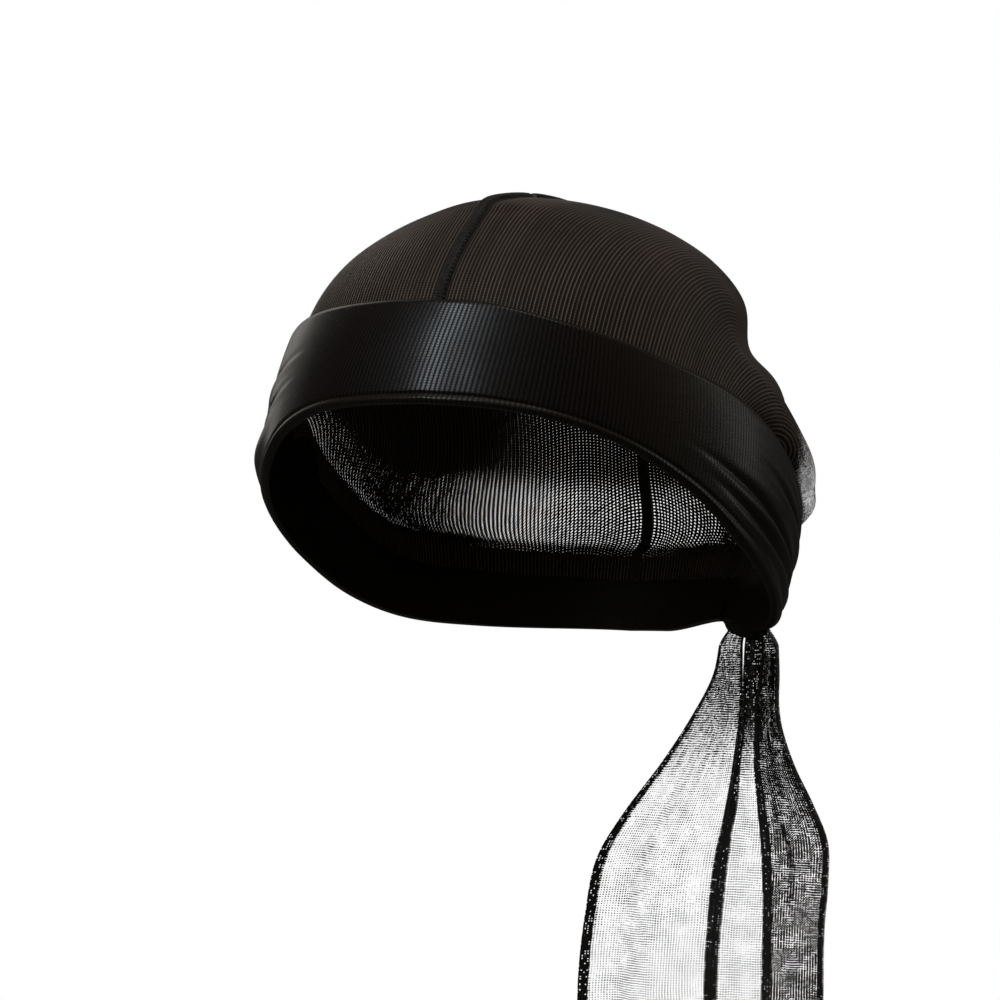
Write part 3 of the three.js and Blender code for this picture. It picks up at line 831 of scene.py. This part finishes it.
def crown_seam(settings, material):
    """The serged seam: a rounded ridge with thread in zigzags over it."""
    across, rise = np.array(SEAM_PROFILE).T
    run = np.concatenate([np.linspace(-2, -1, 6)[:-1], np.linspace(-1, 1, 260), [1.5, 2.0]])
    base = rib_lines(np.zeros_like(run), run, 1)
    relief, _ = crown_relief(base, np.zeros_like(run), 1)
    along = lengths_along(base[None], 1)[0]
    tall = settings.seam_height * smoothstep(1 - np.abs(run), -0.02, 0.02)
    wobble = 0.12 * MM * np.sin(along / (2.3 * MM)) + 0.08 * MM * np.sin(along / (0.9 * MM))
    height = CROWN_WALL + relief[:, None] + rise * (tall + wobble)[:, None]
    middle = np.repeat(base[:, None], len(across), 1)
    outer = raised(middle, height)
    inner = raised(middle, np.broadcast_to(relief[:, None], height.shape))
    for points in (outer, inner):
        points[..., 0] = across * SEAM_WIDTH
    ridge = np.vstack([outer.reshape(-1, 3), inner.reshape(-1, 3)])
    parts = [(ridge, shell_faces(*outer.shape[:2]))]
    total = along[-1]
    steps = int(total / settings.zigzag_pitch) * POINTS_PER_ZIGZAG
    spots = np.linspace(0.004, 0.996, steps) * total
    for start, reach in SEAM_THREADS:
        swing = np.abs((spots / settings.zigzag_pitch + start) % 1 - 0.5) * 4 - 1
        swing = np.sin(swing * np.pi / 2) * reach * 0.5
        lift = np.interp(swing, across, rise)
        middle = np.stack([np.interp(spots, along, base[:, k]) for k in range(3)], -1)
        out = np.interp(spots, along, relief + CROWN_WALL) + lift * np.interp(spots, along, tall)
        thread = raised(middle, out + THREAD_LIFT)
        thread[:, 0] = swing * SEAM_WIDTH
        parts.append(tube(thread, settings.thread_radius, THREAD_SIDES))
    points, faces = joined(parts)
    piece = add_mesh("crown_seam_thread", points, faces)
    dress(piece, material, "crown_seam")


def crease_relief(across, turn):
    """How the gathered cloth puffs out between its creases, on both sides of the band."""
    backwards = np.abs(turn)
    total = GATHER_PUFF * smoothstep(backwards, 40, 100)
    for creases, here in ((LEFT_CREASES, turn >= 0), (RIGHT_CREASES, turn < 0)):
        for place, start, depth, width in creases:
            grown = smoothstep(backwards, start, start + CREASE_GROWTH)
            drift = place + CREASE_DRIFT * np.sin(turn / 17 + place * 30) * grown
            valley = hump(across, drift, np.where(across < drift, width * 1.7, width))
            soft = 0.45 * hump(across, drift + 2.6 * width, 2.4 * width)
            total = total + here * grown * depth * (soft - valley)
    roll = hump(across, ROLL_PLACE, ROLL_HALF_WIDTH) * smoothstep(-turn, 52, 70)
    total = total + ROLL_RELIEF * roll * (1 - smoothstep(backwards, 100, 140))
    ripples = RIPPLE_RELIEF * np.sin(across * 61 + turn * 0.11) * smoothstep(backwards, 66, 90)
    return total + ripples


def wrap_piece(node, turns, settings, material):
    """A stretch of the band or a tie: a folded strip with a rounded upper edge and a welt."""
    across = np.concatenate([np.linspace(0, 0.06, 6)[:-1], np.linspace(0.06, 0.94, 74)])
    across = np.concatenate([across, np.linspace(0.94, 1, 7)[1:]])
    middle_column = 40
    grid_across, grid_turn = np.meshgrid(across, turns)
    upper, lower = wrap_edge(grid_turn)
    backwards = np.abs(grid_turn)
    from_knot = np.minimum(np.abs(grid_turn - KNOT_TURN), np.abs(grid_turn - KNOT_TURN + 360))
    drawn_in = KNOT_PULL * (1 - smoothstep(from_knot, 2, 20))
    depth = upper + (lower - upper) * grid_across
    depth = depth + (-KNOT_MIDDLE.z - depth) * drawn_in
    base = form_point(grid_turn, depth)
    round_upper = np.sqrt(np.clip(grid_across / UPPER_ROUNDING, 0, 1)) * 0.7 + 0.3
    round_lower = np.sqrt(np.clip((1 - grid_across) / LOWER_ROUNDING, 0, 1)) * 0.75 + 0.25
    welt = settings.welt_height * hump(grid_across, WELT_PLACE, WELT_HALF_WIDTH)
    groove = WELT_GROOVE * hump(grid_across, GROOVE_PLACE, GROOVE_HALF_WIDTH)
    trim = (welt - groove) * (1 - smoothstep(backwards, 62, 90))
    wall = WRAP_WALL * round_upper * round_lower + trim + crease_relief(grid_across, grid_turn)
    outer = raised(base, WRAP_LIFT + np.maximum(wall, WRAP_LEAST))
    inner = raised(base, np.full_like(wall, WRAP_LIFT))
    down = lengths_along(base, 1)
    round_the_form = lengths_along(base[:, [middle_column]], 0)
    wale = (round_the_form + settings.wale_slant * down) / settings.wale_pitch
    knit = np.stack([wale, down / settings.course_pitch], -1)
    lower_trim = smoothstep(grid_across, 0.89, 0.92)
    upper_trim = 1 - smoothstep(grid_across, 0.01, 0.05)
    trim_share = TRIM_DULLNESS * np.maximum(lower_trim, upper_trim)
    dull = np.maximum(smoothstep(backwards, 30, 66), trim_share)
    piece = add_shell(node + "_satin", outer, inner, knit, dull, sharp=60)
    dress(piece, material, node)


def knot_form(settings, material):
    """The knot: one squarish form, whose slanting folds stand for two ties wound together."""
    rows, columns = 72, 112
    v = np.linspace(0.02, np.pi - 0.02, rows)[:, None]
    u = np.linspace(0, 2 * np.pi, columns, endpoint=False)[None]
    ball = np.stack([np.sin(v) * np.cos(u), np.sin(v) * np.sin(u), np.cos(v) + 0 * u], -1)
    x, y, z = np.moveaxis(np.sign(ball) * np.abs(ball) ** KNOT_SQUARENESS, -1, 0)
    slant = z * 0.75 + x * 0.65
    folds = 0.05 * np.sin(slant * 9) + 0.022 * np.sin(slant * 21 + y * 4)
    waist = 0.1 * hump(z, 0.35 * x, 0.16) * np.clip(y + 0.6, 0, 1)
    swell = (0.94 + folds - waist)[..., None]
    facing = np.radians(KNOT_TURN - 90)
    outwards = np.array([np.cos(facing), np.sin(facing), 0])
    sideways = np.array([outwards[1], -outwards[0], 0])
    upwards = np.array([0, 0, (KNOT_HIGH.z - KNOT_LOW.z) / 2])
    shape = x[..., None] * sideways * KNOT_HALF_WIDTH
    shape = shape + y[..., None] * outwards * KNOT_HALF_THICKNESS
    shape = shape + z[..., None] * upwards
    grid = np.array(KNOT_MIDDLE) + swell * shape
    index = np.arange(rows * columns).reshape(rows, columns)
    following = np.roll(index, -1, 1)
    faces = np.stack([index[:-1], following[:-1], following[1:], index[1:]], -1).reshape(-1, 4)
    points = np.vstack([grid.reshape(-1, 3), grid[0].mean(0), grid[-1].mean(0)])
    caps = []
    for pole, ring in enumerate((index[0][::-1], index[-1])):
        tip = rows * columns + pole
        for k in range(0, columns, 2):
            caps.append([tip, ring[k], ring[(k + 1) % columns], ring[(k + 2) % columns]])
    faces = np.vstack([faces, caps])
    uvs = np.stack([points[:, 0] / KNOT_WALE, points[:, 2] / KNOT_COURSE], -1)
    dull = np.ones(len(points))
    piece = add_mesh("nape_knot_satin", points, faces[:, ::-1], uvs, dull, sharp=70)
    dress(piece, material, "nape_knot")


def tail_sheet(node, rows, side, stations, settings, material, wave, openness):
    """A hanging tail: stations run over its width, and past 1 over the part that is folded back."""
    read = curve_through(rows)
    drops = np.linspace(-TAIL_TUCK / TAIL_LENGTH, 1, 160)
    station, drop = np.meshgrid(stations, drops)
    inner, outer, out, turned = (read(drop)[..., k] for k in range(4))
    spread = outer - inner
    last = stations[-1]
    hem_from, hem_to = (0.16, 0.13) if last > 1 else (0.075, 0.055)
    hem = np.maximum(
        1 - smoothstep(station, 0.055, 0.075), smoothstep(station, last - hem_from, last - hem_to)
    )

    def place(at):
        share = np.where(at > 1, 1 + (turned - 1) * (at - 1), at)
        behind = out * TAIL_WIDTH + wave(at, drop, spread)
        drawn_in = 1 - 0.5 * smoothstep(-drop * TAIL_LENGTH, -2 * MM, TAIL_TUCK)
        x = KNOT_MIDDLE.x + side * (inner + spread * share) * TAIL_WIDTH * drawn_in
        return np.stack([x, KNOT_MIDDLE.y + behind, TAIL_TOP - drop * TAIL_LENGTH], -1)

    step = 0.01
    before, after = place(np.maximum(station - step, 0)), place(np.minimum(station + step, last))
    normal = np.stack([before[..., 1] - after[..., 1], after[..., 0] - before[..., 0]], -1)
    normal = np.concatenate([normal, 0 * normal[..., :1]], -1)
    normal /= np.maximum(np.linalg.norm(normal, axis=-1, keepdims=True), 1e-9)
    wall = settings.wall + (settings.hem_wall - settings.wall) * hem
    middle = place(station)
    front = middle + normal * wall[..., None] / 2
    back = middle - normal * wall[..., None] / 2
    across = lengths_along(middle, 1)[-1:] / settings.column_pitch + 0 * drop
    along = drop * TAIL_LENGTH / settings.row_pitch
    open_now = openness(station, drop) * (1 - hem)
    uv = np.stack([across, along], -1)
    piece = add_shell(node + "_knit", front, back, uv, open_now, sharp=60)
    return dress(piece, material, node)


def left_tail(settings, material):
    """The tail that is folded lengthwise on itself: sheer where single, darker where double."""
    stations = np.concatenate([np.linspace(0, 0.9, 60), np.linspace(0.9, 1.15, 26)[1:]])
    stations = np.concatenate([stations, np.linspace(1.15, 2, 50)[1:]])

    def wave(at, drop, spread):
        swing = LEFT_SWING * np.sin(at * 2.6 + drop * 3) * np.minimum(spread, 1)
        pleats = LEFT_PLEAT * np.sin(at * 17 + drop * 2) * (1 - smoothstep(drop, 0.2, 0.75))
        folded = smoothstep(at, 0.9, 1.12) * FOLD_GAP
        return (swing + pleats) * np.where(at > 1, 2 - at, 1) - folded

    def openness(at, drop):
        single = 0.85 * smoothstep(drop, 0.18, 0.36) * (1 - smoothstep(at, 0.44, 0.5))
        double = (0.4 + 0.22 * smoothstep(drop, 0.2, 0.5)) * smoothstep(at, 0.44, 0.5)
        edge = smoothstep(np.abs(at - 1.04), 0.02, 0.1 - 0.06 * smoothstep(drop, 0.3, 0.6))
        crease = hump(at, 0.66 - 5.5 * (drop - 0.6) ** 2, 0.028)
        crease = crease * smoothstep(drop, 0.38, 0.45) * (1 - smoothstep(drop, 0.62, 0.68))
        speckled = 0.3 * hump(at, 0.86, 0.1) * (1 - smoothstep(drop, 0.2, 0.4))
        return np.maximum(single + double * edge * (1 - 0.7 * crease), speckled)

    piece = tail_sheet("tail_left", LEFT_TAIL, 1, stations, settings, material, wave, openness)


def right_tail(settings, material):
    """The tail that hangs open and waved, sheer all over."""
    stations = np.linspace(0, 1, 90)

    def wave(at, drop, spread):
        grown = smoothstep(drop, 0, 0.45) * np.minimum(spread + 0.2, 1)
        pleats = RIGHT_PLEAT * np.sin(at * 31) * (1 - smoothstep(drop, 0.2, 0.8))
        return RIGHT_SWING * np.sin(at * 9.4 + 0.6) * grown + pleats

    def openness(at, drop):
        return 0.35 + 0.52 * smoothstep(drop, 0.1, 0.4)

    piece = tail_sheet("tail_right", RIGHT_TAIL, -1, stations, settings, material, wave, openness)


# Operators, one for each piece or group of like pieces and one for the stage.
class DURAG_OT_crown(bpy.types.Operator):
    """Build the two ribbed halves of the crown"""

    bl_idname = "durag.crown"
    bl_label = "Crown"

    def execute(self, context):
        settings = context.scene.durag_crown
        material = crown_finish(settings)
        crown_panel(1, "crown_panel_left", settings, material)
        crown_panel(-1, "crown_panel_right", settings, material)
        return {"FINISHED"}


class DURAG_OT_seam(bpy.types.Operator):
    """Build the serged seam along the middle of the crown"""

    bl_idname = "durag.seam"
    bl_label = "Seam"

    def execute(self, context):
        settings = context.scene.durag_thread
        crown_seam(settings, thread_finish(settings))
        return {"FINISHED"}


class DURAG_OT_wrap(bpy.types.Operator):
    """Build the brow band, the two ties and the knot"""

    bl_idname = "durag.wrap"
    bl_label = "Band, ties and knot"

    def execute(self, context):
        settings = context.scene.durag_band
        satin = satin_finish("satin_knit", settings)
        gathered = satin_finish("gathered_knit", settings)
        tucked_turn = 1.0
        band = np.linspace(-BAND_TURN, BAND_TURN, 150)
        left = np.linspace(BAND_TURN, KNOT_TURN - tucked_turn, 130)
        right = np.linspace(-BAND_TURN, KNOT_TURN + tucked_turn - 360, 190)
        wrap_piece("brow_band", band, settings, satin)
        wrap_piece("tie_wrap_left", left, settings, gathered)
        wrap_piece("tie_wrap_right", right, settings, gathered)
        knot_form(settings, gathered)
        return {"FINISHED"}


class DURAG_OT_tails(bpy.types.Operator):
    """Build the two hanging tails"""

    bl_idname = "durag.tails"
    bl_label = "Tails"

    def execute(self, context):
        settings = context.scene.durag_tail
        material = tail_finish(settings)
        left_tail(settings, material)
        right_tail(settings, material)
        return {"FINISHED"}


def add_light(name, place, size, power, color):
    """A soft box that faces the crown."""
    light = bpy.data.lights.new(name, "AREA")
    light.shape = "RECTANGLE"
    light.size, light.size_y = size
    light.energy = power
    light.color = color
    lamp = bpy.data.objects.new(name, light)
    lamp.location = place
    aim = LIGHT_AIM - Vector(place)
    lamp.rotation_euler = aim.to_track_quat("-Z", "Y").to_euler()
    bpy.context.scene.collection.objects.link(lamp)


def add_stage_piece(name, vertices, faces, material):
    """A floor or backdrop that shows to the camera and throws no light or shade on the cloth."""
    mesh = bpy.data.meshes.new(name)
    mesh.from_pydata(vertices, [], faces)
    mesh.materials.append(material)
    piece = bpy.data.objects.new(name, mesh)
    bpy.context.scene.collection.objects.link(piece)
    piece.visible_diffuse = False
    piece.visible_glossy = False
    piece.visible_shadow = False


def add_camera():
    """The camera at the photograph's viewing angle, with its square frame."""
    camera_data = bpy.data.cameras.new("camera")
    camera_data.sensor_width = SENSOR
    camera_data.lens = FOCAL_PIXELS / PHOTO_PIXELS * SENSOR
    camera_data.clip_start = 0.05
    camera_data.clip_end = 30
    camera = bpy.data.objects.new("camera", camera_data)
    level = math.cos(CAMERA_RISE)
    turned = (math.sin(CAMERA_TURN) * level, -math.cos(CAMERA_TURN) * level)
    back = Vector((*turned, math.sin(CAMERA_RISE)))
    camera.location = CAMERA_AIM + back * CAMERA_DISTANCE
    camera.rotation_euler = (-back).to_track_quat("-Z", "Y").to_euler()
    bpy.context.scene.collection.objects.link(camera)
    bpy.context.scene.camera = camera


class DURAG_OT_stage(bpy.types.Operator):
    """Build the pale floor and backdrop, the lights and the camera"""

    bl_idname = "durag.stage"
    bl_label = "Stage"

    def execute(self, context):
        scene = context.scene
        scene.view_settings.view_transform = "Standard"
        scene.cycles.transparent_max_bounces = OPEN_LAYERS
        pale = Finish("pale_stage").set(
            Base_Color=BLACK,
            Specular_IOR_Level=0.0,
            Emission_Color=WHITE,
            Emission_Strength=1.0,
        )
        low = CAD_BOX[0][2] - FLOOR_GAP
        near, far = -STAGE_REACH, STAGE_REACH
        corners = [(near, near), (far, near), (far, far), (near, far)]
        floor = [(x, y, low) for x, y in corners]
        roof = [(x, y, low + STAGE_REACH) for x, y in corners]
        add_stage_piece("floor", floor, [(0, 1, 2, 3)], pale)
        walls = [(0, 1, 5, 4), (1, 2, 6, 5), (2, 3, 7, 6), (3, 0, 4, 7), (4, 5, 6, 7)]
        add_stage_piece("backdrop", floor + roof, walls, pale)

        world = bpy.data.worlds.new("studio")
        world.use_nodes = True
        background = world.node_tree.nodes["Background"]
        background.inputs["Color"].default_value = WORLD_COLOR
        background.inputs["Strength"].default_value = WORLD_STRENGTH
        scene.world = world
        for light in LIGHTS:
            add_light(*light)
        add_camera()
        return {"FINISHED"}


class DURAG_PT_panel(bpy.types.Panel):
    """Lists the durag's settings and steps in the 3D view's sidebar"""

    bl_idname = "DURAG_PT_panel"
    bl_label = "Durag"
    bl_space_type = "VIEW_3D"
    bl_region_type = "UI"
    bl_category = "Durag"

    def draw(self, context):
        groups = (
            (context.scene.durag_crown, DURAG_OT_crown),
            (context.scene.durag_thread, DURAG_OT_seam),
            (context.scene.durag_band, DURAG_OT_wrap),
            (context.scene.durag_tail, DURAG_OT_tails),
        )
        for settings, step in groups:
            box = self.layout.box()
            for name in settings.__annotations__:
                box.prop(settings, name)
            box.operator(step.bl_idname)
        self.layout.operator(DURAG_OT_stage.bl_idname)


SETTINGS = {
    "durag_crown": DuragCrownSettings,
    "durag_thread": DuragThreadSettings,
    "durag_band": DuragBandSettings,
    "durag_tail": DuragTailSettings,
}
STEPS = (DURAG_OT_crown, DURAG_OT_seam, DURAG_OT_wrap, DURAG_OT_tails, DURAG_OT_stage)


def register():
    for name, group in SETTINGS.items():
        bpy.utils.register_class(group)
        setattr(bpy.types.Scene, name, bpy.props.PointerProperty(type=group))
    for step in STEPS:
        bpy.utils.register_class(step)
    bpy.utils.register_class(DURAG_PT_panel)


def unregister():
    bpy.utils.unregister_class(DURAG_PT_panel)
    for step in reversed(STEPS):
        bpy.utils.unregister_class(step)
    for name, group in SETTINGS.items():
        delattr(bpy.types.Scene, name)
        bpy.utils.unregister_class(group)


def main():
    register()
    for step in STEPS:
        category, name = step.bl_idname.split(".")
        getattr(getattr(bpy.ops, category), name)()


if __name__ == "__main__":
    main()
